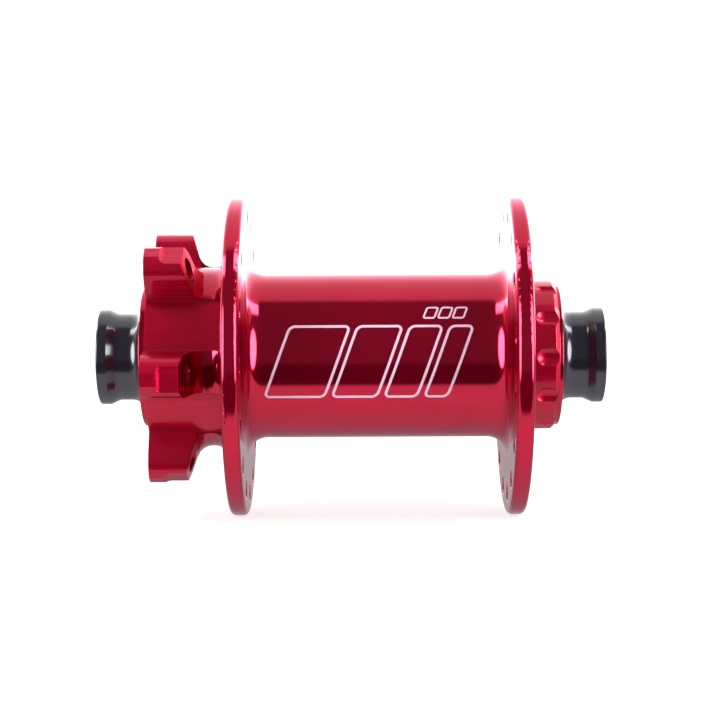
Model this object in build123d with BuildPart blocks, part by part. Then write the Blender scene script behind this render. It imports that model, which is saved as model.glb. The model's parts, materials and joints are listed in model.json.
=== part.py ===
from build123d import *
import os

# Front bicycle hub for a six-bolt brake disc and a 15 mm through axle.
# Millimetres. X runs along the axle with the disc at -X, +Z is up, and the
# origin is on the axle, halfway between the two faces that the fork clamps.
# Angles about the axle are measured from +Y towards +Z.

# ---- overall sizes ----
locknut_width = 100.0         # over the outer faces of the end caps
cap_stand_out = 8.9           # each cap's outer face beyond the shell's nose ring
through_axle_radius = 7.5     # of the axle that a fork brings

# ---- clearances ----
through_axle_clearance = 0.025
cap_slip = 0.03               # end cap over the hub axle
face_gap = 0.05               # between faces that turn or pull apart
lip_gap = 0.06                # seal lips to the surface they run on
ball_gap = 0.05               # ball to raceway and ball to cage pocket

# ---- spoke flanges ----
flange_radius = 31.85
flange_width = 3.36
flange_rim_radius = 1.0       # rounding of the rim edges
disc_side_flange_x = -22.26   # middle of each flange
plain_side_flange_x = 32.45
spokes_per_flange = 16
spoke_hole_inset = 4.15       # centres of the holes, in from the rim
spoke_hole_radius = 1.3
spoke_hole_chamfer = 0.55
disc_side_spoke_angle = 0.5   # first hole; the other flange is half a pitch on

# ---- barrel, and the boss on the plain side ----
barrel_radius = 16.38
barrel_wall = 2.38            # where it is bored out between the bearings
barrel_fillet = 3.8
boss_fillet = 1.0
boss_chamfer_length = 0.85
boss_chamfer_height = 0.86    # from the nose ring up to the boss
nose_ring_wall = 1.0          # around the bearing
nose_ring_length = 0.65
edge_break = 0.2              # rounding of the turned edges
flute_count = 12
flute_cutter_radius = 2.4
flute_depth = 0.7
flute_run_in = 3.4            # end of the flute's centre line from the flange
flute_angle = 28.8

# ---- six-bolt disc mount ----
disc_face_inset = 10.5        # from the cap's outer face to the disc's face
disc_bolt_circle_radius = 22.0
disc_bolt_count = 6
disc_bolt_hole_radius = 2.1   # tapping size of an M5 thread
disc_bolt_chamfer = 0.45
disc_register_wall = 0.9      # around the bearing
lobe_radius = 4.1             # half the width of a lobe
lobe_tip_trim = 0.2           # flat milled off the round of a tip
lobe_blank_spare = 1.0        # turned away when the lobes are milled
lobe_thickness = 7.2          # at the tip
lobe_back_lean = 0.31         # of run along the axle for each mm inwards
lobe_back_fillet = 3.0        # at most, see neck_fillet_share
lobe_relief_depth = 0.7       # of the wider flat over the back of each tip
lobe_relief_start = 2.6       # from the disc's face
lobe_relief_blend = 1.6
lobe_angle = 6.7
valley_radius = 17.65         # floors milled between the lobes
valley_cutter_radius = 3.0
valley_end_gap = 1.1          # floors stop this far short of the flange
valley_run_out = 1.0          # the cutter starts this far off the shell's end
neck_radius = 18.0
neck_flange_fillet = 3.3      # at most, see neck_fillet_share
neck_fillet_share = 0.56      # largest share of the neck that one fillet takes

# ---- bore of the shell ----
bearing_recess = 2.5          # bearing's outer face below the nose ring
shoulder_height = 1.0         # of the step that each bearing is pressed against
relief_inset = 8.0            # of the bored-out barrel from each shoulder
relief_cone = 3.0

# ---- cartridge bearings, 17 x 26 x 5 ----
bearing_section = 4.5         # from the bearing's bore to its outside
bearing_width = 5.0
ball_radius = 1.19
ball_count = 14
race_wall = 1.35              # each race, beside its raceway
race_chamfer = 0.25
seal_seat_depth = 0.45        # cut into the outer race for each shield
seal_inset = 0.15
seal_thickness = 0.6
cage_width = 3.2
cage_thickness = 0.9

# ---- hub axle ----
axle_wall = 0.975             # where the bearings sit
axle_collar_height = 1.0      # behind each bearing
axle_collar_length = 4.5
axle_waist_wall = 1.275
axle_chamfer = 0.2

# ---- end caps and their seals ----
cap_ring_wall = 2.035
cap_ring_length = 2.0
cap_ring_blend = 1.8
cap_neck_wall = 1.195
cap_flare = 2.4
cap_disc_gap = 1.5            # from the cap's disc to the shell's bore
cap_disc_proud = 0.2          # beyond the shell's nose ring
cap_socket_depth = 2.2
cap_edge_rounding = 0.3
o_ring_section_radius = 0.4
o_ring_groove_width = 1.0
o_ring_setback = 0.55         # of its groove from the cap's inner face
dust_seal_length = 1.9
dust_seal_wall = 0.7
dust_lip_length = 0.6
dust_lip_setback = 0.7

# ---- worked out from the sizes above ----
shell_end_x = locknut_width / 2 - cap_stand_out
bearing_outer_x = shell_end_x - bearing_recess
shoulder_x = bearing_outer_x - bearing_width
bearing_x = bearing_outer_x - bearing_width / 2
bore_radius = through_axle_radius + through_axle_clearance
bearing_bore_radius = bore_radius + axle_wall
bearing_radius = bearing_bore_radius + bearing_section
ball_circle_radius = bearing_bore_radius + bearing_section / 2
inner_land_radius = bearing_bore_radius + race_wall
outer_land_radius = bearing_radius - race_wall
seal_seat_radius = outer_land_radius + seal_seat_depth
disc_face_x = -(locknut_width / 2 - disc_face_inset)
disc_register_radius = bearing_radius + disc_register_wall
nose_ring_radius = bearing_radius + nose_ring_wall
boss_radius = nose_ring_radius + boss_chamfer_height
spoke_circle_radius = flange_radius - spoke_hole_inset
spoke_pitch = 360 / spokes_per_flange
lobe_tip_radius = disc_bolt_circle_radius + lobe_radius - lobe_tip_trim
lobe_relief_radius = lobe_tip_radius - lobe_relief_depth
cap_disc_radius = bearing_radius - cap_disc_gap
cap_inner_x = bearing_outer_x + face_gap
socket_end_x = cap_inner_x + cap_socket_depth
axle_end_x = socket_end_x - 2 * face_gap
raceway_radius = ball_radius + ball_gap

os.makedirs("parts", exist_ok=True)


def save_piece(piece, node_name):
    """Label a finished piece and write it as its own STEP file."""
    piece.part.label = node_name
    export_step(piece.part, f"parts/{node_name}.step")


def shell_outline():
    """Corners of the shell's half section, each with its rounding radius."""
    disc_side_inner = disc_side_flange_x + flange_width / 2
    disc_side_outer = disc_side_flange_x - flange_width / 2
    plain_side_inner = plain_side_flange_x - flange_width / 2
    plain_side_outer = plain_side_flange_x + flange_width / 2
    lobe_back_x = disc_face_x + lobe_thickness
    blank_radius = lobe_tip_radius + lobe_blank_spare
    blank_back_x = lobe_back_x - lobe_back_lean * lobe_blank_spare
    neck_start_x = lobe_back_x + lobe_back_lean * (lobe_tip_radius - neck_radius)
    largest_neck_fillet = neck_fillet_share * (disc_side_outer - neck_start_x)
    boss_end_x = shell_end_x - nose_ring_length
    chamfer_x = boss_end_x - boss_chamfer_length
    shoulder_radius = bearing_radius - shoulder_height
    relief_radius = barrel_radius - barrel_wall
    relief_x = shoulder_x - relief_inset
    return [
        (-shell_end_x, bearing_radius, edge_break),
        (-shell_end_x, disc_register_radius, edge_break),
        (disc_face_x, disc_register_radius, edge_break),
        (disc_face_x, blank_radius, 0),
        (blank_back_x, blank_radius, 0),
        (neck_start_x, neck_radius, min(lobe_back_fillet, largest_neck_fillet)),
        (disc_side_outer, neck_radius, min(neck_flange_fillet, largest_neck_fillet)),
        (disc_side_outer, flange_radius, flange_rim_radius),
        (disc_side_inner, flange_radius, flange_rim_radius),
        (disc_side_inner, barrel_radius, barrel_fillet),
        (plain_side_inner, barrel_radius, barrel_fillet),
        (plain_side_inner, flange_radius, flange_rim_radius),
        (plain_side_outer, flange_radius, flange_rim_radius),
        (plain_side_outer, boss_radius, boss_fillet),
        (chamfer_x, boss_radius, edge_break),
        (boss_end_x, nose_ring_radius, edge_break),
        (shell_end_x, nose_ring_radius, edge_break),
        (shell_end_x, bearing_radius, edge_break),
        (shoulder_x, bearing_radius, edge_break),
        (shoulder_x, shoulder_radius, edge_break),
        (relief_x, shoulder_radius, edge_break),
        (relief_x - relief_cone, relief_radius, edge_break),
        (-relief_x + relief_cone, relief_radius, edge_break),
        (-relief_x, shoulder_radius, edge_break),
        (-shoulder_x, shoulder_radius, edge_break),
        (-shoulder_x, bearing_radius, edge_break),
    ]


# Hub shell: turned outline, milled disc lobes, drilled flanges, fluted boss.
outline = shell_outline()
corners = [(x, radius) for x, radius, rounding in outline]
roundings = [rounding for x, radius, rounding in outline]
lobe_relief_x = disc_face_x + lobe_relief_start
valley_end_x = disc_side_flange_x - flange_width / 2 - valley_end_gap
boss_face_x = plain_side_flange_x + flange_width / 2
flute_start_x = boss_face_x + flute_run_in
flute_axis_radius = boss_radius + flute_cutter_radius - flute_depth

# What the mill takes away around the six lobes, down to the valley floors.
valley_start_x = -shell_end_x - valley_run_out
valley_plane = Plane.YZ.offset(valley_start_x)
valley_length = valley_end_x - valley_start_x
with BuildPart() as milled_away:
    with BuildSketch(valley_plane):
        Circle(lobe_tip_radius + 2 * lobe_blank_spare)
    extrude(amount=valley_length)
    with BuildSketch(valley_plane) as lobe_star:
        Circle(valley_radius)
        with PolarLocations(disc_bolt_circle_radius / 2, disc_bolt_count, start_angle=lobe_angle):
            Rectangle(disc_bolt_circle_radius, 2 * lobe_radius)
        with PolarLocations(disc_bolt_circle_radius, disc_bolt_count, start_angle=lobe_angle):
            Circle(lobe_radius)
        roots = [
            corner for corner in lobe_star.vertices()
            if abs(Vector(0, corner.Y, corner.Z).length - valley_radius) < 0.01
        ]
        fillet(roots, valley_cutter_radius)
        trim_radius = lobe_tip_radius + lobe_tip_trim
        with PolarLocations(trim_radius, disc_bolt_count, start_angle=lobe_angle):
            Rectangle(2 * lobe_tip_trim, 2 * lobe_radius, mode=Mode.SUBTRACT)
    extrude(amount=valley_length, mode=Mode.SUBTRACT)

with BuildPart() as hub_shell:
    with BuildSketch(Plane.XY):
        with BuildLine():
            FilletPolyline(*corners, radius=roundings, close=True)
        make_face()
    revolve(axis=Axis.X)
    add(milled_away.part, mode=Mode.SUBTRACT)

    # A wider flat is milled over the back of each lobe's tip.
    for index in range(disc_bolt_count):
        tip_plane = Plane.XY.rotated((lobe_angle + index * 360 / disc_bolt_count, 0, 0))
        with BuildSketch(tip_plane):
            with BuildLine():
                Polyline(
                    (lobe_relief_x + lobe_relief_blend, lobe_relief_radius),
                    (disc_face_x + lobe_thickness + 2, lobe_relief_radius),
                    (disc_face_x + lobe_thickness + 2, lobe_tip_radius + 1),
                    (lobe_relief_x, lobe_tip_radius + 1),
                    (lobe_relief_x, lobe_relief_radius + lobe_relief_blend),
                )
                RadiusArc(
                    (lobe_relief_x + lobe_relief_blend, lobe_relief_radius),
                    (lobe_relief_x, lobe_relief_radius + lobe_relief_blend),
                    lobe_relief_blend,
                )
            make_face()
        extrude(amount=lobe_radius + 1, both=True, mode=Mode.SUBTRACT)

    # Threaded disc bolt holes, right through the lobes, with a chamfered mouth.
    with BuildSketch(Plane.YZ.offset(disc_face_x)):
        with PolarLocations(disc_bolt_circle_radius, disc_bolt_count, start_angle=lobe_angle):
            Circle(disc_bolt_hole_radius)
    extrude(amount=valley_end_x - disc_face_x, mode=Mode.SUBTRACT)
    with BuildSketch(Plane.YZ.offset(disc_face_x)):
        with PolarLocations(disc_bolt_circle_radius, disc_bolt_count, start_angle=lobe_angle):
            Circle(disc_bolt_hole_radius + disc_bolt_chamfer)
    extrude(amount=disc_bolt_chamfer, taper=45, mode=Mode.SUBTRACT)

    # Spoke holes, with the two flanges half a pitch apart.
    for flange_x, first_angle in (
        (disc_side_flange_x, disc_side_spoke_angle),
        (plain_side_flange_x, disc_side_spoke_angle + spoke_pitch / 2),
    ):
        with BuildSketch(Plane.YZ.offset(flange_x)):
            with PolarLocations(spoke_circle_radius, spokes_per_flange, start_angle=first_angle):
                Circle(spoke_hole_radius)
        extrude(amount=flange_width, both=True, mode=Mode.SUBTRACT)
        for face_side in (-1, 1):
            with BuildSketch(Plane.YZ.offset(flange_x + face_side * flange_width / 2)):
                with PolarLocations(spoke_circle_radius, spokes_per_flange, start_angle=first_angle):
                    Circle(spoke_hole_radius + spoke_hole_chamfer)
            extrude(amount=-face_side * spoke_hole_chamfer, taper=45, mode=Mode.SUBTRACT)

    # Ball-nosed flutes around the boss, open at the chamfered end.
    flute_length = shell_end_x - flute_start_x
    with Locations(Plane.YZ.offset(flute_start_x)):
        with PolarLocations(flute_axis_radius, flute_count, start_angle=flute_angle):
            Cylinder(
                flute_cutter_radius,
                flute_length,
                align=(Align.CENTER, Align.CENTER, Align.MIN),
                mode=Mode.SUBTRACT,
            )
            Sphere(flute_cutter_radius, mode=Mode.SUBTRACT)

save_piece(hub_shell, "hub_shell")


def turn_axle():
    """Hub axle: a tube with a collar behind each bearing and a thinner waist."""
    collar_radius = bearing_bore_radius + axle_collar_height
    waist_radius = bore_radius + axle_waist_wall
    waist_x = shoulder_x - axle_collar_length
    half_outline = [
        (axle_end_x, bore_radius),
        (axle_end_x, bearing_bore_radius - axle_chamfer),
        (axle_end_x - axle_chamfer, bearing_bore_radius),
        (shoulder_x, bearing_bore_radius),
        (shoulder_x, collar_radius),
        (waist_x, collar_radius),
        (waist_x - (collar_radius - waist_radius), waist_radius),
    ]
    mirrored = [(-x, radius) for x, radius in reversed(half_outline)]
    with BuildPart() as axle:
        with BuildSketch(Plane.XY):
            with BuildLine():
                Polyline(*half_outline, *mirrored, close=True)
            make_face()
        revolve(axis=Axis.X)
    save_piece(axle, "axle")


def turn_bearing_races(side, name):
    """Outer and inner race of one cartridge bearing, each with its raceway."""
    center_x = side * bearing_x
    seal_recess = seal_inset + seal_thickness

    with BuildPart() as outer_race:
        with BuildSketch(Plane.XY) as outer_section:
            with Locations((center_x, bearing_radius - race_wall / 2)):
                Rectangle(bearing_width, race_wall)
            chamfer(outer_section.vertices().group_by(Axis.Y)[-1], race_chamfer)
            with Locations((center_x, ball_circle_radius)):
                Circle(raceway_radius, mode=Mode.SUBTRACT)
            for face in (-1, 1):
                step_x = center_x + face * (bearing_width - seal_recess) / 2
                with Locations((step_x, outer_land_radius + seal_seat_depth / 2)):
                    Rectangle(seal_recess, seal_seat_depth, mode=Mode.SUBTRACT)
        revolve(axis=Axis.X)
    save_piece(outer_race, f"{name}_outer_race")

    with BuildPart() as inner_race:
        with BuildSketch(Plane.XY) as inner_section:
            with Locations((center_x, bearing_bore_radius + race_wall / 2)):
                Rectangle(bearing_width, race_wall)
            chamfer(inner_section.vertices().group_by(Axis.Y)[0], race_chamfer)
            with Locations((center_x, ball_circle_radius)):
                Circle(raceway_radius, mode=Mode.SUBTRACT)
        revolve(axis=Axis.X)
    save_piece(inner_race, f"{name}_inner_race")


def make_balls_and_cage(side, name):
    """Ring of balls, and the cage whose pockets space them out."""
    with BuildPart(Plane.YZ.offset(side * bearing_x)) as balls:
        with PolarLocations(ball_circle_radius, ball_count):
            Sphere(ball_radius)
    save_piece(balls, f"{name}_balls")

    with BuildPart(Plane.YZ.offset(side * bearing_x)) as cage:
        Cylinder(ball_circle_radius + cage_thickness / 2, cage_width)
        Cylinder(ball_circle_radius - cage_thickness / 2, cage_width, mode=Mode.SUBTRACT)
        with PolarLocations(ball_circle_radius, ball_count):
            Cylinder(raceway_radius, 2 * cage_thickness, rotation=(0, 90, 0), mode=Mode.SUBTRACT)
    save_piece(cage, f"{name}_cage")


def make_bearing_seals(side, name):
    """Two rubber shields, seated in the outer race and just clear of the inner."""
    inner_radius = inner_land_radius + lip_gap
    for face, place in ((-1, "inner"), (1, "outer")):
        face_x = bearing_width / 2 - seal_inset - seal_thickness / 2
        with BuildPart(Plane.YZ.offset(side * (bearing_x + face * face_x))) as seal:
            Cylinder(seal_seat_radius, seal_thickness)
            Cylinder(inner_radius, seal_thickness, mode=Mode.SUBTRACT)
        save_piece(seal, f"{name}_bearing_{place}_seal")


def turn_dust_seal(side, name):
    """Seal in the mouth of the shell, with a tapered lip over the cap's disc."""
    inner_x = bearing_outer_x + face_gap
    lip_x = inner_x + dust_lip_setback
    lip_radius = cap_disc_radius + lip_gap
    body_radius = bearing_radius - dust_seal_wall
    outline = [
        (side * inner_x, bearing_radius),
        (side * inner_x, body_radius),
        (side * lip_x, body_radius),
        (side * (lip_x + dust_lip_length / 4), lip_radius),
        (side * (lip_x + dust_lip_length), lip_radius),
        (side * (lip_x + dust_lip_length), body_radius),
        (side * (inner_x + dust_seal_length), body_radius),
        (side * (inner_x + dust_seal_length), bearing_radius),
    ]
    with BuildPart() as dust_seal:
        with BuildSketch(Plane.XY):
            with BuildLine():
                Polyline(*outline, close=True)
            make_face()
        revolve(axis=Axis.X)
    save_piece(dust_seal, f"{name}_dust_seal")


def turn_end_cap(side, name):
    """End cap: clamping ring, neck, flare, and a disc that sockets over the axle."""
    end_x = locknut_width / 2
    ring_x = end_x - cap_ring_length
    cap_ring_radius = bore_radius + cap_ring_wall
    cap_neck_radius = bore_radius + cap_neck_wall
    disc_x = shell_end_x + cap_disc_proud
    socket_radius = bearing_bore_radius + cap_slip
    groove_x = cap_inner_x + o_ring_setback
    groove_radius = socket_radius + 2 * o_ring_section_radius
    outline = [
        (cap_inner_x, socket_radius, 0),
        (cap_inner_x, cap_disc_radius, edge_break),
        (disc_x, cap_disc_radius, edge_break),
        (disc_x, cap_neck_radius, cap_flare),
        (ring_x - cap_ring_blend, cap_neck_radius, cap_ring_blend),
        (ring_x, cap_ring_radius, edge_break),
        (end_x, cap_ring_radius, cap_edge_rounding),
        (end_x, bore_radius, edge_break),
        (socket_end_x, bore_radius, 0),
        (socket_end_x, socket_radius, 0),
        (groove_x + o_ring_groove_width, socket_radius, 0),
        (groove_x + o_ring_groove_width, groove_radius, 0),
        (groove_x, groove_radius, 0),
        (groove_x, socket_radius, 0),
    ]
    with BuildPart() as end_cap:
        with BuildSketch(Plane.XY):
            with BuildLine():
                FilletPolyline(
                    *[(side * x, radius) for x, radius, rounding in outline],
                    radius=[rounding for x, radius, rounding in outline],
                    close=True,
                )
            make_face()
        revolve(axis=Axis.X)
    save_piece(end_cap, f"{name}_end_cap")

    with BuildPart() as o_ring:
        with BuildSketch(Plane.XY):
            o_ring_x = groove_x + o_ring_groove_width / 2
            with Locations((side * o_ring_x, socket_radius + o_ring_section_radius)):
                Circle(o_ring_section_radius)
        revolve(axis=Axis.X)
    save_piece(o_ring, f"{name}_o_ring")


turn_axle()
for side, name in ((-1, "left"), (1, "right")):
    turn_bearing_races(side, name)
    make_balls_and_cage(side, name)
    make_bearing_seals(side, name)
    turn_dust_seal(side, name)
    turn_end_cap(side, name)
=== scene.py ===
"""Looks for a bicycle front hub, dressed around its CAD frame.

The hub lies along X with the brake-disc mount at -X, its axle level and its two flanges
standing on a pale floor. The CAD solids keep their shapes and get their finishes here, and
three pieces are added to the shell: the threads in the disc bolt holes, and two groups of
etched stripes on the barrel. Everything is in metres, in the CAD frame.
"""

import json
import logging
import math
from abc import ABC, abstractmethod
from dataclasses import dataclass
from enum import Enum
from types import MappingProxyType
from typing import Iterable, Mapping, Sequence, Union

import bmesh
import bpy
import numpy as np
from mathutils import Matrix, Vector


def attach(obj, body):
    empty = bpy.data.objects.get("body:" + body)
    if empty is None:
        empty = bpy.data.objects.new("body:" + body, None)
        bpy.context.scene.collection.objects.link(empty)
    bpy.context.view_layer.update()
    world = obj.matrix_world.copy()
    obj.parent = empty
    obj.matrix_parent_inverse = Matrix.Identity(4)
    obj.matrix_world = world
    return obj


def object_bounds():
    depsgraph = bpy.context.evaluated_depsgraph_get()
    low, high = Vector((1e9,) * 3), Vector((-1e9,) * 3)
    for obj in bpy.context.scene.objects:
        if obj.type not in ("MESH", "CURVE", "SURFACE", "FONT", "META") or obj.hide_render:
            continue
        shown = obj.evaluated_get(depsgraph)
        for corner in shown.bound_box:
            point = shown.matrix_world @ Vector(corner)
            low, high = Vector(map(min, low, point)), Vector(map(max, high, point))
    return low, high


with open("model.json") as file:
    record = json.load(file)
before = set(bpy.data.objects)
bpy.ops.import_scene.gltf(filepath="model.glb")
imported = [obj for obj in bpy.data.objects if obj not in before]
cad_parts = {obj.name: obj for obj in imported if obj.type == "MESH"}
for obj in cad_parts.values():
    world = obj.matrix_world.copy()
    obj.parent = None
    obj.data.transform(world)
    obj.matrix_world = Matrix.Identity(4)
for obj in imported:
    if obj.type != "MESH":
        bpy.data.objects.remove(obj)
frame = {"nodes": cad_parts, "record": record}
CAD_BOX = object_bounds()

MILLIMETRE = 0.001
MICROMETRE = MILLIMETRE / 1000
log = logging.getLogger("front_hub")

Colour = tuple[float, float, float]
Number = Union[int, float]
Dye = Union[Colour, bpy.types.NodeSocket]
NOTHING: Mapping = MappingProxyType({})


class Side(Enum):
    """The two ends of the hub: the disc mount is on the left."""

    LEFT = "left"
    RIGHT = "right"


class Body(Enum):
    """CAD bodies that new pieces ride on."""

    SHELL = "shell_body"


class Slot(Enum):
    """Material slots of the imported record."""

    SHELL = "shell_anodised"
    CAP = "cap_anodised"
    AXLE = "axle_alloy"
    BEARING = "bearing_steel"
    BALL = "ball_steel"
    CAGE = "cage_nylon"
    SHIELD = "bearing_rubber"
    SEAL = "seal_rubber"
    ETCHED = "etched_metal"


# ---- shader expressions ----


class Value:
    """A number on a node's output socket, which ordinary operators can be written on."""

    def __init__(self, graph: "Graph", socket: bpy.types.NodeSocket) -> None:
        """Wrap a socket of a graph."""
        self.graph = graph
        self.socket = socket

    def _math(self, operation: str, *operands: Union["Value", Number]) -> "Value":
        """Add one Math node and return its result.

        Args:
            operation: name of the Math node's operation.
            *operands: its inputs in order, as values or plain numbers.

        Returns:
            The node's output.
        """
        inputs = dict(enumerate(operands))
        return self.graph.value("ShaderNodeMath", {"operation": operation}, inputs)

    def __add__(self, other: Union["Value", Number]) -> "Value":
        """Sum."""
        return self._math("ADD", self, other)

    def __radd__(self, other: Number) -> "Value":
        """Sum, from the right."""
        return self._math("ADD", other, self)

    def __sub__(self, other: Union["Value", Number]) -> "Value":
        """Difference."""
        return self._math("SUBTRACT", self, other)

    def __rsub__(self, other: Number) -> "Value":
        """Difference, from the right."""
        return self._math("SUBTRACT", other, self)

    def __mul__(self, other: Union["Value", Number]) -> "Value":
        """Product."""
        return self._math("MULTIPLY", self, other)

    def __rmul__(self, other: Number) -> "Value":
        """Product, from the right."""
        return self._math("MULTIPLY", other, self)

    def __pow__(self, other: Number) -> "Value":
        """Power."""
        return self._math("POWER", self, other)

    def __neg__(self) -> "Value":
        """Negative."""
        return self._math("MULTIPLY", self, -1.0)

    def __abs__(self) -> "Value":
        """Absolute value."""
        return self._math("ABSOLUTE", self)

    def angle_from(self, other: "Value") -> "Value":
        """Angle of the point (other, self) about the origin, in radians."""
        return self._math("ARCTAN2", self, other)

    def between(self, low: Number, high: Number) -> "Value":
        """Smooth step.

        Args:
            low: value where the step starts.
            high: value where it ends; below low, the step falls instead of rising.

        Returns:
            0 before low, 1 past high, and a smooth ramp between them.
        """
        inputs = {"Value": self, "From Min": low, "From Max": high}
        settings = {"interpolation_type": "SMOOTHSTEP"}
        return self.graph.value("ShaderNodeMapRange", settings, inputs)


class Graph:
    """A node tree that is built up from nothing."""

    def __init__(self, tree: bpy.types.NodeTree) -> None:
        """Take a tree and empty it."""
        tree.nodes.clear()
        self.tree = tree

    def node(self, kind: str, settings: Mapping = NOTHING, inputs: Mapping = NOTHING) -> bpy.types.Node:
        """Add a node.

        Args:
            kind: the node's type.
            settings: its properties, set before its sockets; stops are a ramp's.
            inputs: numbers, colours, values or sockets, by the input's name or place.

        Returns:
            The new node.
        """
        made = self.tree.nodes.new(kind)
        for name, setting in settings.items():
            if name == "stops":
                self._set_stops(made.color_ramp.elements, setting)
            else:
                setattr(made, name, setting)
        for name, given in inputs.items():
            socket = given.socket if isinstance(given, Value) else given
            if isinstance(socket, bpy.types.NodeSocket):
                self.tree.links.new(socket, made.inputs[name])
            else:
                made.inputs[name].default_value = socket
        return made

    @staticmethod
    def _set_stops(elements: bpy.types.ColorRampElements, stops: Sequence) -> None:
        """Give a ramp its stops, each a place from 0 to 1 and a grey level."""
        while len(elements) > 1:
            elements.remove(elements[-1])
        for index, (place, level) in enumerate(stops):
            element = elements[0] if index == 0 else elements.new(place)
            element.position = place
            element.color = (level, level, level, 1.0)

    def value(
        self,
        kind: str,
        settings: Mapping = NOTHING,
        inputs: Mapping = NOTHING,
        output: Union[int, str] = 0,
    ) -> Value:
        """Add a node and wrap one of its outputs.

        Args:
            kind: the node's type.
            settings: its properties.
            inputs: what its sockets are given, as in node().
            output: name or place of the output.

        Returns:
            The output as a value.
        """
        return Value(self, self.node(kind, settings, inputs).outputs[output])

    def noise(self, vector: bpy.types.NodeSocket, scale: Number, detail: Number = 2.0) -> Value:
        """Noise from 0 to 1 at a scale in cycles for each unit of the vector."""
        inputs = {"Vector": vector, "Scale": scale, "Detail": detail}
        return self.value("ShaderNodeTexNoise", NOTHING, inputs)

    def vector(self, x: Value, y: Union[Value, Number], z: Union[Value, Number]) -> bpy.types.NodeSocket:
        """Join three numbers into a vector socket."""
        return self.node("ShaderNodeCombineXYZ", NOTHING, {0: x, 1: y, 2: z}).outputs[0]

    def blend(self, factor: Value, first: Dye, second: Dye) -> bpy.types.NodeSocket:
        """Mix two colours.

        Args:
            factor: 0 for the first colour, 1 for the second.
            first: a colour or a colour socket.
            second: a colour or a colour socket.

        Returns:
            The mixed colour's socket.
        """
        dyes = [(*dye, 1.0) if isinstance(dye, tuple) else dye for dye in (first, second)]
        inputs = {0: factor, 6: dyes[0], 7: dyes[1]}
        return self.node("ShaderNodeMix", {"data_type": "RGBA"}, inputs).outputs[2]


class PlacedGraph(Graph):
    """A material's graph, with the coordinates of the piece at hand."""

    def __init__(self, tree: bpy.types.NodeTree) -> None:
        """Empty the tree, then add the piece's own coordinates in millimetres."""
        super().__init__(tree)
        self.place = self.node("ShaderNodeTexCoord").outputs["Object"]
        split = self.node("ShaderNodeSeparateXYZ", NOTHING, {0: self.place})
        self.x, self.y, self.z = (Value(self, s) * (1 / MILLIMETRE) for s in split.outputs)
        self.radius = (self.y * self.y + self.z * self.z) ** 0.5

    def turning_marks(self, pitch: float) -> Value:
        """Fine rings around the axle.

        The noise is read at (x, radius), so it rings a barrel along x and a flat face along
        its radius.

        Args:
            pitch: of the rings, in millimetres.

        Returns:
            Noise from 0 to 1.
        """
        return self.noise(self.vector(self.x, self.radius, 0.0), 1 / pitch)

    def milling_marks(self, pitch: float, length: float) -> Value:
        """Fine streaks along the axle.

        The noise is squeezed across the streaks and drawn out along x.

        Args:
            pitch: between streaks, in millimetres.
            length: of a streak, in millimetres.

        Returns:
            Noise from 0 to 1.
        """
        stretched = self.vector(self.x * (pitch / length), self.y, self.z)
        return self.noise(stretched, 1 / pitch)

    def edge_mask(self, width: float) -> Value:
        """Where the surface is within reach of a sharp edge.

        The normal of a rounded copy is compared with the real one: their dot product falls
        from 1 as the rounding turns away from the face.

        Args:
            width: of the rounding, in metres.

        Returns:
            1 at edges and 0 elsewhere.
        """
        flat_cosine, sharp_cosine = 0.995, 0.8
        rounded = self.node("ShaderNodeBevel", {"samples": 4}, {"Radius": width}).outputs[0]
        flat = self.node("ShaderNodeNewGeometry").outputs["Normal"]
        inputs = {0: rounded, 1: flat}
        dot = self.value("ShaderNodeVectorMath", {"operation": "DOT_PRODUCT"}, inputs, "Value")
        return dot.between(flat_cosine, sharp_cosine)


# ---- finishes ----


@dataclass(frozen=True)
class Finish(ABC):
    """A finish that becomes one material, named for its slot."""

    slot: Slot

    @abstractmethod
    def surface(self, graph: PlacedGraph) -> Mapping:
        """Inputs of the Principled shader, by name."""

    def material(self) -> bpy.types.Material:
        """Build the finish.

        Returns:
            A material whose Principled shader takes what surface() gives.
        """
        made = bpy.data.materials.new(f"{self.slot.value}_finish")
        made.use_nodes = True
        graph = PlacedGraph(made.node_tree)
        shader = graph.node("ShaderNodeBsdfPrincipled", NOTHING, self.surface(graph))
        graph.node("ShaderNodeOutputMaterial", NOTHING, {"Surface": shader.outputs[0]})
        return made

    @staticmethod
    def bump(graph: PlacedGraph, height: Value, depth: float) -> bpy.types.NodeSocket:
        """Normal of a surface raised by height times a depth in metres."""
        inputs = {"Height": height, "Distance": depth, "Strength": 1.0}
        return graph.node("ShaderNodeBump", NOTHING, inputs).outputs[0]


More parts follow.
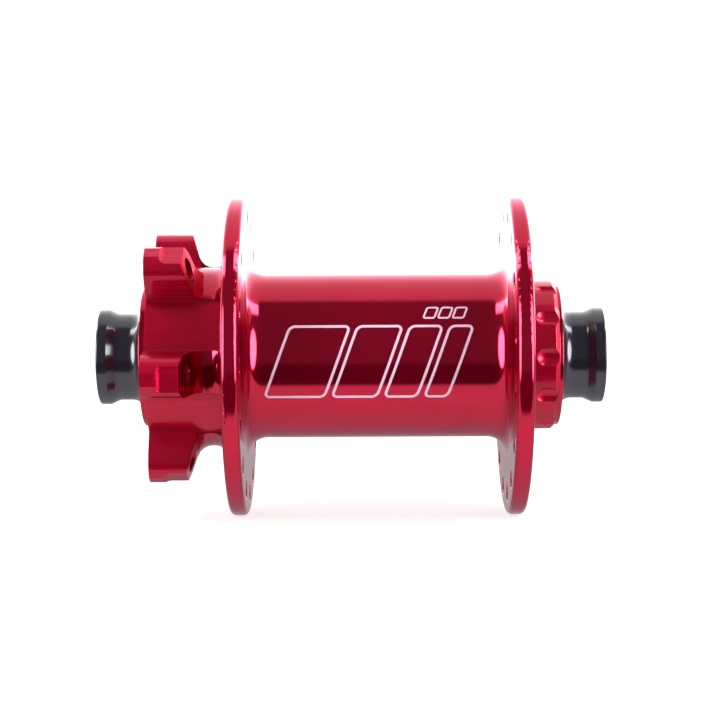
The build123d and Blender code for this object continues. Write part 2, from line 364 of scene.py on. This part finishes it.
@dataclass(frozen=True)
class AnodisedShell(Finish):
    """Polished aluminium, dyed crimson, with turned and milled surfaces.

    Attributes:
        slot: of the record.
        dye: colour of most of the shell.
        deep_dye: colour of the darker clouds in it.
        thin_dye_and_edge_highlight: colour where the dye has thinned by wear, also a painted highlight
            along sharp milled edges.
        edge_tint: tint of the gloss at a grazing angle.
        metallic: share of the surface that reflects as metal.
        roughness: of the turned surfaces.
        milled_roughness: of the milled surfaces.
        lobe_back: x where the lobes' leaning backs would meet the axle, in millimetres.
        lobe_lean: run of those backs towards the disc for each unit of radius.
        valley_end: x where the floors between the lobes end, in millimetres.
        valley_radius: of the turned neck that stands above those floors, in millimetres.
        milled_radius: within which nothing is milled, in millimetres.
        boss_start: x where the fluted boss starts, in millimetres.
        mask_blur: half width of the borders between turned and milled, in millimetres.
        edge_width: of the edges that wear thin and carry the painted highlight, in metres.
        edge_wear_and_highlight: share of thin dye and painted highlight at a sharp milled edge.
        turned_pitch: of the turning marks, in millimetres.
        turned_depth: of the turning marks, in thousandths of a millimetre.
        streak_pitch: between the cutter's fine streaks, in millimetres.
        streak_length: of those streaks, in millimetres.
        streak_depth: of those streaks, in thousandths of a millimetre.
        streak_roughness: that those streaks add at most.
        wave_pitch: between the cutter's broad waves, in millimetres.
        wave_length: of those waves, in millimetres.
        wave_depth: of those waves, in thousandths of a millimetre.
        cloud_scale: of the dye's clouds, in cycles for each metre.
        cloud_range: noise levels between which deep dye turns into plain dye.
        handling_scale: of the patches that handling leaves, in cycles for each metre.
        handling_roughness: that handling adds at most.
    """

    slot: Slot = Slot.SHELL
    dye: Colour = (0.515, 0.0020, 0.034)
    deep_dye: Colour = (0.485, 0.0016, 0.030)
    thin_dye_and_edge_highlight: Colour = (0.80, 0.16, 0.28)
    edge_tint: Colour = (1.0, 0.72, 0.88)
    metallic: float = 0.86
    roughness: float = 0.09
    milled_roughness: float = 0.33
    lobe_back: float = -24.45
    lobe_lean: float = 0.31
    valley_end: float = -25.04
    valley_radius: float = 17.8
    milled_radius: float = 14.0
    boss_start: float = 34.6
    mask_blur: float = 0.1
    edge_width: float = 0.12 * MILLIMETRE
    edge_wear_and_highlight: float = 0.5
    turned_pitch: float = 0.16
    turned_depth: float = 0.4
    streak_pitch: float = 0.22
    streak_length: float = 14.0
    streak_depth: float = 85.0
    streak_roughness: float = 0.08
    wave_pitch: float = 1.3
    wave_length: float = 40.0
    wave_depth: float = 120.0
    cloud_scale: float = 90.0
    cloud_range: tuple[float, float] = (0.3, 0.7)
    handling_scale: float = 900.0
    handling_roughness: float = 0.03

    def milled_mask(self, graph: PlacedGraph) -> Value:
        """Where the shell is milled instead of turned.

        The lobes end at a leaning back, x + lean * radius = constant; the valley floors run on
        to the flange below the turned neck's radius; at the other end the boss is milled.

        Args:
            graph: the material's graph.

        Returns:
            1 on milled surfaces and 0 on turned ones.
        """
        blur = self.mask_blur
        leaning = graph.x + graph.radius * self.lobe_lean
        lobes = leaning.between(self.lobe_back + blur, self.lobe_back - blur)
        valleys = graph.radius.between(self.valley_radius + blur, self.valley_radius - blur)
        valleys = valleys * graph.x.between(self.valley_end + blur, self.valley_end - blur)
        boss = graph.x.between(self.boss_start - blur, self.boss_start + blur)
        outside = graph.radius.between(self.milled_radius, self.milled_radius + blur)
        return (1 - (1 - lobes) * (1 - valleys) * (1 - boss)) * outside

    def surface(self, graph: PlacedGraph) -> Mapping:
        """Dye, gloss, cutter marks, and sharp milled edges painted paler as wear and as a highlight.

        Args:
            graph: the material's graph.

        Returns:
            Inputs of the Principled shader.
        """
        milled = self.milled_mask(graph)
        rings = graph.turning_marks(self.turned_pitch)
        streaks = graph.milling_marks(self.streak_pitch, self.streak_length)
        waves = graph.milling_marks(self.wave_pitch, self.wave_length)
        cut = streaks * self.streak_depth + waves * self.wave_depth
        marks = rings * self.turned_depth * (1 - milled) + cut * milled
        cloud = graph.noise(graph.place, self.cloud_scale, detail=3.0)
        handled = graph.noise(graph.place, self.handling_scale, detail=4.0)
        edges = graph.edge_mask(self.edge_width)
        dyed = graph.blend(cloud.between(*self.cloud_range), self.deep_dye, self.dye)
        # sharp milled edges turn pale pink: partly thinned dye, partly a painted highlight where they
        # would catch the light
        worn_and_highlit = graph.blend(edges * milled * self.edge_wear_and_highlight, dyed, self.thin_dye_and_edge_highlight)
        gloss = self.roughness + milled * (self.milled_roughness - self.roughness)
        gloss = gloss + handled * self.handling_roughness
        return {
            "Base Color": worn_and_highlit,
            "Metallic": self.metallic,
            "Roughness": gloss + streaks * milled * self.streak_roughness,
            "Specular IOR Level": 0.25,
            "Specular Tint": (*self.edge_tint, 1.0),
            "Coat Weight": 0.5,
            "Coat Roughness": 0.06,
            "Coat IOR": 1.5,
            "Normal": self.bump(graph, marks, MICROMETRE),
        }


@dataclass(frozen=True)
class AnodisedCap(Finish):
    """Turned aluminium, dyed black and glossy.

    Attributes:
        slot: of the record.
        dye: colour of the cap.
        thin_dye_and_edge_highlight: colour along its sharp edges, thinned dye with a painted highlight.
        roughness: of the smoothest parts.
        mark_roughness: that the rings add at most, and the clouds as well.
        edge_width: of the edges that wear thin and carry the painted highlight, in metres.
        pitch: of the turning marks, in millimetres.
        depth: of the turning marks, in metres.
        cloud_scale: of the patches in its gloss, in cycles for each metre.
    """

    slot: Slot = Slot.CAP
    dye: Colour = (0.014, 0.012, 0.021)
    thin_dye_and_edge_highlight: Colour = (0.09, 0.09, 0.10)
    roughness: float = 0.16
    mark_roughness: float = 0.05
    edge_width: float = 0.1 * MILLIMETRE
    pitch: float = 0.12
    depth: float = 2 * MICROMETRE
    cloud_scale: float = 500.0

    def surface(self, graph: PlacedGraph) -> Mapping:
        """Black dye, turning marks, and sharp edges painted paler as thin dye and as a highlight."""
        rings = graph.turning_marks(self.pitch)
        cloud = graph.noise(graph.place, self.cloud_scale, detail=4.0)
        edges = graph.edge_mask(self.edge_width)
        return {
            # sharp edges blend to the paler colour: thinned dye and a painted highlight
            "Base Color": graph.blend(edges, self.dye, self.thin_dye_and_edge_highlight),
            "Metallic": 0.2,
            "Roughness": self.roughness + rings * self.mark_roughness + cloud * self.mark_roughness,
            "Coat Weight": 0.7,
            "Coat Roughness": 0.1,
            "Normal": self.bump(graph, rings, self.depth),
        }


@dataclass(frozen=True)
class TurnedMetal(Finish):
    """Bare metal with turning marks.

    Attributes:
        slot: of the record.
        shine: the lighter of its two colours.
        shade: the darker one.
        roughness: of the smoothest parts.
        ring_roughness: that the turning marks add at most.
        cloud_roughness: that the clouds add at most.
        pitch: of the turning marks, in millimetres.
        depth: of the turning marks, in metres.
        cloud_scale: of the clouds, in cycles for each metre.
        cloud_range: noise levels between which shade turns into shine.
    """

    slot: Slot = Slot.AXLE
    shine: Colour = (0.72, 0.73, 0.75)
    shade: Colour = (0.52, 0.53, 0.55)
    roughness: float = 0.26
    ring_roughness: float = 0.08
    cloud_roughness: float = 0.06
    pitch: float = 0.15
    depth: float = 2 * MICROMETRE
    cloud_scale: float = 350.0
    cloud_range: tuple[float, float] = (0.25, 0.75)

    def surface(self, graph: PlacedGraph) -> Mapping:
        """Grey metal whose rings vary in gloss, and whose clouds vary in shade and gloss."""
        rings = graph.turning_marks(self.pitch)
        cloud = graph.noise(graph.place, self.cloud_scale, detail=3.0)
        gloss = self.roughness + rings * self.ring_roughness
        return {
            "Base Color": graph.blend(cloud.between(*self.cloud_range), self.shade, self.shine),
            "Metallic": 1.0,
            "Roughness": gloss + cloud * self.cloud_roughness,
            "Normal": self.bump(graph, rings, self.depth),
        }


@dataclass(frozen=True)
class Moulded(Finish):
    """Rubber or nylon, matt, with a fine grain.

    Attributes:
        slot: of the record.
        light: the lighter of its two colours.
        dark: the darker one.
        roughness: of the smoothest parts.
        bloom_roughness: that the lighter patches add at most.
        grain_scale: of the grain, in cycles for each metre.
        grain_depth: of the grain, in metres.
        bloom_scale: of the lighter patches, in cycles for each metre.
        bloom_range: noise levels between which dark turns into light.
    """

    slot: Slot = Slot.SEAL
    light: Colour = (0.035, 0.035, 0.037)
    dark: Colour = (0.018, 0.018, 0.020)
    roughness: float = 0.55
    bloom_roughness: float = 0.12
    grain_scale: float = 9000.0
    grain_depth: float = 12 * MICROMETRE
    bloom_scale: float = 260.0
    bloom_range: tuple[float, float] = (0.35, 0.7)

    def surface(self, graph: PlacedGraph) -> Mapping:
        """Grain from fine noise, and lighter patches from coarse noise."""
        grain = graph.noise(graph.place, self.grain_scale, detail=3.0)
        bloom = graph.noise(graph.place, self.bloom_scale, detail=3.0)
        return {
            "Base Color": graph.blend(bloom.between(*self.bloom_range), self.dark, self.light),
            "Roughness": self.roughness + bloom * self.bloom_roughness,
            "Normal": self.bump(graph, grain, self.grain_depth),
        }


@dataclass(frozen=True)
class EtchedFilm(Finish):
    """Dye burnt off by a laser, which leaves pale and slightly frosted metal.

    Attributes:
        slot: of the record.
        pale: the lighter of its two colours.
        pink: the darker one, where some dye is left.
        roughness: of the smoothest parts.
        hatch_roughness: that the hatch adds at most.
        hatch_scale: of the hatch along the axle, in cycles for each millimetre.
        hatch_stretch: scale of the hatch across the axle, as a share of that along it.
        hatch_depth: of the hatch, in metres.
        hatch_range: noise levels between which pink turns into pale.
    """

    slot: Slot = Slot.ETCHED
    pale: Colour = (0.66, 0.46, 0.58)
    pink: Colour = (0.58, 0.38, 0.50)
    roughness: float = 0.42
    hatch_roughness: float = 0.1
    hatch_scale: float = 14.0
    hatch_stretch: float = 0.2
    hatch_depth: float = 2 * MICROMETRE
    hatch_range: tuple[float, float] = (0.3, 0.7)

    def surface(self, graph: PlacedGraph) -> Mapping:
        """Frosted metal with the laser's fine hatch across it."""
        stretch = self.hatch_stretch
        stretched = graph.vector(graph.x, graph.y * stretch, graph.z * stretch)
        hatch = graph.noise(stretched, self.hatch_scale)
        return {
            "Base Color": graph.blend(hatch.between(*self.hatch_range), self.pink, self.pale),
            "Metallic": 0.1,
            "Roughness": self.roughness + hatch * self.hatch_roughness,
            "Normal": self.bump(graph, hatch, self.hatch_depth),
        }


FINISHES: tuple[Finish, ...] = (
    AnodisedShell(),
    AnodisedCap(),
    TurnedMetal(),
    TurnedMetal(
        Slot.BEARING, shine=(0.62, 0.62, 0.63), shade=(0.46, 0.46, 0.48), roughness=0.18, pitch=0.09
    ),
    TurnedMetal(
        Slot.BALL, shine=(0.78, 0.78, 0.79), shade=(0.66, 0.66, 0.68), roughness=0.06, pitch=0.3
    ),
    Moulded(Slot.CAGE, light=(0.42, 0.36, 0.24), dark=(0.33, 0.28, 0.18), roughness=0.45),
    Moulded(Slot.SHIELD, light=(0.040, 0.042, 0.050), dark=(0.022, 0.023, 0.028), roughness=0.5),
    Moulded(),
    EtchedFilm(),
)


class Wardrobe:
    """All finishes of the hub, each built once."""

    def __init__(self, finishes: Iterable[Finish]) -> None:
        """Build every finish's material."""
        self.materials = {finish.slot: finish.material() for finish in finishes}

    def dress_node(self, name: str) -> None:
        """Give a CAD node the material of the slot that the record names for it."""
        for holder in frame["nodes"][name].material_slots:
            holder.material = self.materials[Slot(holder.material.name.split(".")[0])]
        log.info("dressed %s", name)

    def dress_piece(self, piece: bpy.types.Object, slot: Slot) -> None:
        piece.data.materials.append(self.materials[slot])


# ---- surfaces ----


def grid_quads(rows: int, columns: int, closed: bool) -> np.ndarray:
    """Faces of a grid whose columns wrap round.

    Vertex (row, column) has the number row * columns + column, and each face joins it to its
    neighbours in the next row and the next column.

    Args:
        rows: number of rows.
        columns: number of columns, which always wrap.
        closed: whether the rows wrap as well.

    Returns:
        Four vertex numbers for each face.
    """
    row = np.arange(rows if closed else rows - 1)[:, None]
    column = np.arange(columns)[None, :]
    next_row, next_column = (row + 1) % rows, (column + 1) % columns
    corners = [
        row * columns + column,
        row * columns + next_column,
        next_row * columns + next_column,
        next_row * columns + column,
    ]
    return np.stack(corners, axis=-1).reshape(-1, 4)


@dataclass
class SurfacePatch:
    """Vertices and faces of one closed surface."""

    points: np.ndarray
    faces: list[list[int]]

    @classmethod
    def from_sections(cls, sections: np.ndarray, closed: bool) -> "SurfacePatch":
        """Skin closed sections that follow a path.

        Args:
            sections: places, indexed by step along the path, corner of the section and axis.
            closed: whether the path comes back to its start; if not, both ends are filled.

        Returns:
            The closed surface.
        """
        steps, corners = sections.shape[:2]
        faces = grid_quads(steps, corners, closed).tolist()
        if not closed:
            faces.append(list(range(corners)))
            faces.append(list(range((steps - 1) * corners, steps * corners)))
        return cls(sections.reshape(-1, 3), faces)


def build_piece(name: str, patches: Sequence[SurfacePatch], smooth: bool) -> bpy.types.Object:
    """Join patches into one piece at the origin, with its faces pointing outwards.

    Args:
        name: of the new object.
        patches: closed surfaces, which share no vertices.
        smooth: whether its faces are shaded smooth.

    Returns:
        The new object.
    """
    starts = np.cumsum([0] + [len(patch.points) for patch in patches])
    faces = [
        [number + int(start) for number in face]
        for patch, start in zip(patches, starts)
        for face in patch.faces
    ]
    mesh = bpy.data.meshes.new(name)
    mesh.from_pydata(np.concatenate([p.points for p in patches]).tolist(), [], faces)
    shape = bmesh.new()
    shape.from_mesh(mesh)
    bmesh.ops.recalc_face_normals(shape, faces=shape.faces)
    shape.to_mesh(mesh)
    shape.free()
    mesh.polygons.foreach_set("use_smooth", np.full(len(mesh.polygons), smooth))
    piece = bpy.data.objects.new(name, mesh)
    bpy.context.scene.collection.objects.link(piece)
    log.info("built %s with %d faces", name, len(mesh.polygons))
    return piece


# ---- the shell's added pieces ----


@dataclass
class BoltThreads:
    """Threads in the holes that the brake disc's bolts screw into.

    Attributes:
        bolt_circle_radius: of the circle that the holes lie on.
        hole_radius: of each hole.
        count: of holes.
        face_x: outer face of the disc mount.
        first_angle: of the first hole, from +Y towards +Z.
        lead_in: of plain hole before the thread starts.
        length: of the thread.
        pitch: of the thread.
        depth: that each crest stands into the hole.
        root_overlap: that each ridge is sunk into the wall.
        root_half_width: of each ridge, in pitches.
        steps_per_turn: of the helix.
    """

    bolt_circle_radius: float
    hole_radius: float
    count: int
    face_x: float
    first_angle: float = math.radians(6.7)
    lead_in: float = 0.5 * MILLIMETRE
    length: float = 7.1 * MILLIMETRE
    pitch: float = 0.8 * MILLIMETRE
    depth: float = 0.22 * MILLIMETRE
    root_overlap: float = 0.03 * MILLIMETRE
    root_half_width: float = 0.48
    steps_per_turn: int = 28

    def ridge(self, index: int) -> SurfacePatch:
        """Helical ridge of one hole.

        At turn t the section is a triangle: two root corners just inside the wall, nearly a
        pitch apart, and a crest between them at the hole's radius less the depth. Its
        corners lie at axis + radius * (cos t, sin t), and move along x by a pitch each turn.

        Args:
            index: which hole.

        Returns:
            The ridge as a closed surface.
        """
        turns = self.length / self.pitch
        angle = np.linspace(0, 2 * math.pi * turns, int(turns * self.steps_per_turn))[:, None]
        root = self.hole_radius + self.root_overlap
        radius = np.array([root, self.hole_radius - self.depth, root])[None, :]
        half = self.root_half_width * self.pitch
        along = np.array([-half, 0.0, half])[None, :]
        start_x = self.face_x + self.lead_in
        hole_angle = self.first_angle + index * 2 * math.pi / self.count
        sections = np.stack(
            [
                start_x + angle / (2 * math.pi) * self.pitch + along,
                self.bolt_circle_radius * math.cos(hole_angle) + radius * np.cos(angle),
                self.bolt_circle_radius * math.sin(hole_angle) + radius * np.sin(angle),
            ],
            axis=-1,
        )
        return SurfacePatch.from_sections(sections, closed=False)

    def build(self, wardrobe: Wardrobe) -> bpy.types.Object:
        """Build all ridges as one piece that rides on the shell."""
        ridges = [self.ridge(index) for index in range(self.count)]
        piece = build_piece("disc_bolt_threads", ridges, smooth=False)
        wardrobe.dress_piece(piece, Slot.SHELL)
        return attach(piece, Body.SHELL.value)


@dataclass
class StripeGroup:
    """Outlined slanting stripes, etched side by side around the barrel.

    Attributes:
        name: of the piece.
        barrel_radius: of the surface that they lie on.
        start_x: left end of the group.
        widths: of the stripes, from left to right.
        gap: between two stripes.
        low: lower edge of the stripes, as a distance around the barrel from its middle.
        high: upper edge, measured in the same way.
        slant: sideways run for each unit of height.
        corner_radius: of each stripe's corners.
        line_width: of the etched line.
        line_height: of the film above the barrel.
        corner_steps: points around each corner.
        edge_steps: points along each straight side.
    """

    name: str
    barrel_radius: float
    start_x: float
    widths: tuple[float, ...]
    gap: float
    low: float
    high: float
    slant: float = 0.36
    corner_radius: float = 1.0 * MILLIMETRE
    line_width: float = 0.5 * MILLIMETRE
    line_height: float = 0.02 * MILLIMETRE
    corner_steps: int = 10
    edge_steps: int = 14

    def outline(self, start: float, width: float) -> np.ndarray:
        """Middle line of one stripe, laid out flat.

        The path is a rectangle with rounded corners: each corner is a quarter circle, and
        each side is divided evenly. It is then sheared sideways by the slant.

        Args:
            start: left side of the stripe.
            width: of the stripe.

        Returns:
            Points (along the axle, around the barrel) in order.
        """
        radius = self.corner_radius
        sides = ((1, 1, 0.0), (-1, 1, 0.5), (-1, -1, 1.0), (1, -1, 1.5))
        pieces = []
        for right, up, quarter in sides:
            angle = (quarter + np.linspace(0, 0.5, self.corner_steps)) * math.pi
            x = start + width / 2 + right * (width / 2 - radius) + radius * np.cos(angle)
            middle, half = (self.low + self.high) / 2, (self.high - self.low) / 2
            s = middle + up * (half - radius) + radius * np.sin(angle)
            pieces.append(np.stack([x, s], axis=-1))
        corners = np.concatenate(pieces)
        ahead = np.roll(corners, -1, axis=0)
        share = np.linspace(0, 1, self.edge_steps, endpoint=False)[None, :, None]
        length = np.linalg.norm(ahead - corners, axis=1)
        filled = corners[:, None] * (1 - share) + ahead[:, None] * share
        keep = (length[:, None] > 2 * radius) | (np.arange(self.edge_steps)[None, :] == 0)
        path = filled[keep]
        path[:, 0] += self.slant * path[:, 1]
        return path

    def band(self, start: float, width: float) -> SurfacePatch:
        """Thin closed band along one stripe's outline.

        The flat path is offset to both sides by half the line's width along its normal, then
        wrapped round the barrel: a distance s round it is the angle s / radius, measured up
        from -Y. The section is a rectangle whose foot is just inside the barrel.

        Args:
            start: left side of the stripe.
            width: of the stripe.

        Returns:
            The band as a closed surface.
        """
        path = self.outline(start, width)
        tangent = np.roll(path, -1, axis=0) - np.roll(path, 1, axis=0)
        tangent /= np.linalg.norm(tangent, axis=1, keepdims=True)
        normal = np.stack([-tangent[:, 1], tangent[:, 0]], axis=-1)
        offset = np.array([-0.5, -0.5, 0.5, 0.5])[None, :, None] * self.line_width
        flat = path[:, None] + normal[:, None] * offset
        height = np.array([-self.line_height, self.line_height, self.line_height, -self.line_height])
        radius = self.barrel_radius + height[None, :]
        angle = flat[..., 1] / self.barrel_radius
        sections = np.stack(
            [flat[..., 0], -radius * np.cos(angle), radius * np.sin(angle)], axis=-1
        )
        return SurfacePatch.from_sections(sections, closed=True)

    def build(self, wardrobe: Wardrobe) -> bpy.types.Object:
        """Build the stripes as one piece that rides on the shell."""
        starts = self.start_x + np.cumsum([0.0] + [w + self.gap for w in self.widths[:-1]])
        bands = [self.band(float(start), width) for start, width in zip(starts, self.widths)]
        piece = build_piece(self.name, bands, smooth=False)
        wardrobe.dress_piece(piece, Slot.ETCHED)
        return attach(piece, Body.SHELL.value)


# ---- sub-assemblies ----


@dataclass
class HubShell:
    """The red shell, with its disc mount threads and the etched stripes.

    Attributes:
        barrel_radius: of the barrel between the flanges.
    """

    barrel_radius: float = 16.38 * MILLIMETRE

    def threads(self) -> BoltThreads:
        """Threads for the disc bolts, placed by the record's mount."""
        mount = next(m for m in frame["record"]["mounts"] if m["name"] == "disc_bolts")
        sizes = mount["dims"]
        return BoltThreads(
            bolt_circle_radius=sizes["pcd_mm"] / 2 * MILLIMETRE,
            hole_radius=sizes["hole_r_mm"] * MILLIMETRE,
            count=sizes["count"],
            face_x=mount["pos_m"][0],
        )

    def stripes(self) -> tuple[StripeGroup, StripeGroup]:
        """A wide group across the barrel, and a small one above its right end."""
        large = StripeGroup(
            "etched_stripes",
            self.barrel_radius,
            start_x=-14.0 * MILLIMETRE,
            widths=tuple(w * MILLIMETRE for w in (11.5, 8.6, 6.2, 4.4)),
            gap=1.5 * MILLIMETRE,
            low=-7.4 * MILLIMETRE,
            high=6.6 * MILLIMETRE,
        )
        small = StripeGroup(
            "etched_small_stripes",
            self.barrel_radius,
            start_x=11.0 * MILLIMETRE,
            widths=(2.1 * MILLIMETRE,) * 3,
            gap=0.7 * MILLIMETRE,
            low=8.3 * MILLIMETRE,
            high=10.6 * MILLIMETRE,
            corner_radius=0.35 * MILLIMETRE,
            line_width=0.36 * MILLIMETRE,
        )
        return large, small

    def build(self, wardrobe: Wardrobe) -> None:
        """Dress the shell and build what is on it."""
        wardrobe.dress_node("hub_shell")
        self.threads().build(wardrobe)
        for group in self.stripes():
            group.build(wardrobe)


@dataclass
class HubAxle:
    """The tube that the bearings sit on."""

    def build(self, wardrobe: Wardrobe) -> None:
        """Dress the axle."""
        wardrobe.dress_node("axle")


@dataclass
class BearingEnd:
    """One end of the hub: its bearing, seals and end cap.

    Attributes:
        side: which end.
        pieces: names of its nodes, after the side.
    """

    side: Side
    pieces: tuple[str, ...] = (
        "outer_race",
        "inner_race",
        "balls",
        "cage",
        "bearing_inner_seal",
        "bearing_outer_seal",
        "dust_seal",
        "end_cap",
        "o_ring",
    )

    def build(self, wardrobe: Wardrobe) -> None:
        """Dress every node of this end."""
        for piece in self.pieces:
            wardrobe.dress_node(f"{self.side.value}_{piece}")


# ---- studio ----


@dataclass
class Studio:
    """Floor, light and camera.

    Attributes:
        floor_half_width: of the square floor.
        floor_shade: reflectance of the floor.
        floor_glow: light that the floor gives by itself, which keeps shadows on it faint.
        levels: brightness of the light tent at angles about the X axis, in degrees from -Y,
            up over the top and on to the back; negative angles go down under the hub.
        brightest: level that the ramp's 1 stands for.
        low_lamp_level: brightness of the round lamp at each side of the tent.
        low_lamp: direction to it, on the right; the left one mirrors it.
        low_lamp_edge: cosines of its half width, outside and inside its soft edge.
        high_lamp_level: brightness of the long lamp above each round one.
        high_lamp_slopes: its lower and upper edges, each a plane z + slope * y = slope.
        high_lamp_reach: how far sideways its two ends are.
        high_lamp_blur: half width of the soft edges of the long lamps.
        lamp_depths: ray depths at which the lamps have faded out and are still full; a first
            reflection's depth is 2.
        focal_length: of the camera, in millimetres on a 36 mm sensor.
        camera_place: of the camera.
        camera_target: point in the middle of its view.
        camera_roll: of the camera about its view, in degrees.
    """

    floor_half_width: float = 6.0
    floor_shade: float = 0.35
    floor_glow: float = 0.66
    levels: tuple[tuple[float, float], ...] = (
        (-180, 3.0),
        (-177, 1.2),
        (-175, 0.45),
        (-140, 0.4),
        (-100, 0.75),
        (-62, 1.0),
        (-41, 0.98),
        (-37, 0.0),
        (-11, 0.0),
        (-7, 0.13),
        (82, 0.13),
        (88, 0.95),
        (125, 1.15),
        (150, 2.0),
        (165, 3.6),
        (180, 4.0),
    )
    brightest: float = 4.0
    low_lamp_level: float = 12.0
    low_lamp: tuple[float, float, float] = (0.83, -0.533, 0.150)
    low_lamp_edge: tuple[float, float] = (0.920, 0.952)
    high_lamp_level: float = 10.0
    high_lamp_slopes: tuple[float, float] = (0.60, 0.80)
    high_lamp_reach: tuple[float, float] = (0.38, 0.82)
    high_lamp_blur: float = 0.03
    lamp_depths: tuple[float, float] = (2.8, 2.2)
    focal_length: float = 93.05
    camera_place: tuple[float, float, float] = (0.00313, -0.3721, 0.0216)
    camera_target: tuple[float, float, float] = (0.00172, 0.0, -0.00097)
    camera_roll: float = -0.29

    def light_tent(self) -> None:
        """Make the world a light tent.

        A direction's angle about X, from arctan of its height over its depth, is read off the
        levels. At each side a round lamp lightens the directions whose dot product with its own
        is high enough, and a long lamp those between two planes. Only first reflections show
        either, so that the dye's glow between the flanges stays dark. The open background that a
        camera looks at is plain white.
        """
        world = bpy.data.worlds.new("light_tent")
        world.use_nodes = True
        bpy.context.scene.world = world
        graph = Graph(world.node_tree)
        direction = graph.node("ShaderNodeTexCoord").outputs["Generated"]
        split = graph.node("ShaderNodeSeparateXYZ", NOTHING, {0: direction})
        x, y, z = (Value(graph, socket) for socket in split.outputs)
        turn = z.angle_from(-y) * (1 / (2 * math.pi)) + 0.5
        stops = [((angle + 180) / 360, level / self.brightest) for angle, level in self.levels]
        ramp = graph.value("ShaderNodeValToRGB", {"stops": stops}, {"Fac": turn})
        side = abs(x)
        low_x, low_y, low_z = self.low_lamp
        lower, upper = self.high_lamp_slopes
        near, far = self.high_lamp_reach
        soft = self.high_lamp_blur
        low = (side * low_x + y * low_y + z * low_z).between(*self.low_lamp_edge)
        above = (z + y * lower).between(lower - soft, lower + soft)
        below = (z + y * upper).between(upper + soft, upper - soft)
        ends = side.between(near - soft, near + soft) * side.between(far + soft, far - soft)
        high = above * below * ends
        path = graph.node("ShaderNodeLightPath")
        first = Value(graph, path.outputs["Ray Depth"]).between(*self.lamp_depths)
        lamps = low * self.low_lamp_level + high * self.high_lamp_level
        tent = ramp * self.brightest + lamps * first
        seen = Value(graph, path.outputs["Is Camera Ray"])
        level = tent * (1 - seen) + seen
        white = (1.0, 1.0, 1.0, 1.0)
        inputs = {"Color": white, "Strength": level}
        background = graph.node("ShaderNodeBackground", NOTHING, inputs)
        graph.node("ShaderNodeOutputWorld", NOTHING, {"Surface": background.outputs[0]})

    def floor(self) -> bpy.types.Object:
        """Lay a plain pale floor under the flanges, which polished metal doesn't mirror."""
        span = self.floor_half_width
        corners = [(-span, -span), (span, -span), (span, span), (-span, span)]
        mesh = bpy.data.meshes.new("floor")
        mesh.from_pydata([(x, y, CAD_BOX[0].z) for x, y in corners], [], [(0, 1, 2, 3)])
        made = bpy.data.objects.new("floor", mesh)
        bpy.context.scene.collection.objects.link(made)
        paint = bpy.data.materials.new("floor_paint")
        paint.use_nodes = True
        graph = Graph(paint.node_tree)
        inputs = {
            "Base Color": (*[self.floor_shade] * 3, 1.0),
            "Roughness": 0.9,
            "Specular IOR Level": 0.1,
            "Emission Color": (1.0, 1.0, 1.0, 1.0),
            "Emission Strength": self.floor_glow,
        }
        shader = graph.node("ShaderNodeBsdfPrincipled", NOTHING, inputs)
        graph.node("ShaderNodeOutputMaterial", NOTHING, {"Surface": shader.outputs[0]})
        mesh.materials.append(paint)
        made.visible_glossy = False
        return made

    def camera(self) -> bpy.types.Object:
        """Set up the camera.

        Its -Z axis points from its place to the target, its Y axis is up, and it is then
        rolled about that line.

        Returns:
            The scene's camera.
        """
        made = bpy.data.objects.new("camera", bpy.data.cameras.new("camera"))
        made.data.lens = self.focal_length
        made.data.clip_start = 0.01
        place, target = Vector(self.camera_place), Vector(self.camera_target)
        turned = (target - place).to_track_quat("-Z", "Y").to_matrix().to_4x4()
        roll = Matrix.Rotation(math.radians(self.camera_roll), 4, "Z")
        made.matrix_world = Matrix.Translation(place) @ turned @ roll
        bpy.context.scene.collection.objects.link(made)
        bpy.context.scene.camera = made
        return made

    def build(self) -> None:
        """Light the tent, lay the floor and set up the camera."""
        bpy.context.scene.view_settings.view_transform = "Standard"
        self.light_tent()
        self.floor()
        self.camera()


def main() -> None:
    """Build the hub's looks, one sub-assembly after another."""
    logging.basicConfig(level=logging.INFO, format="%(name)s: %(message)s")
    wardrobe = Wardrobe(FINISHES)
    HubShell().build(wardrobe)
    HubAxle().build(wardrobe)
    for side in Side:
        BearingEnd(side).build(wardrobe)
    Studio().build()


if __name__ == "__main__":
    main()
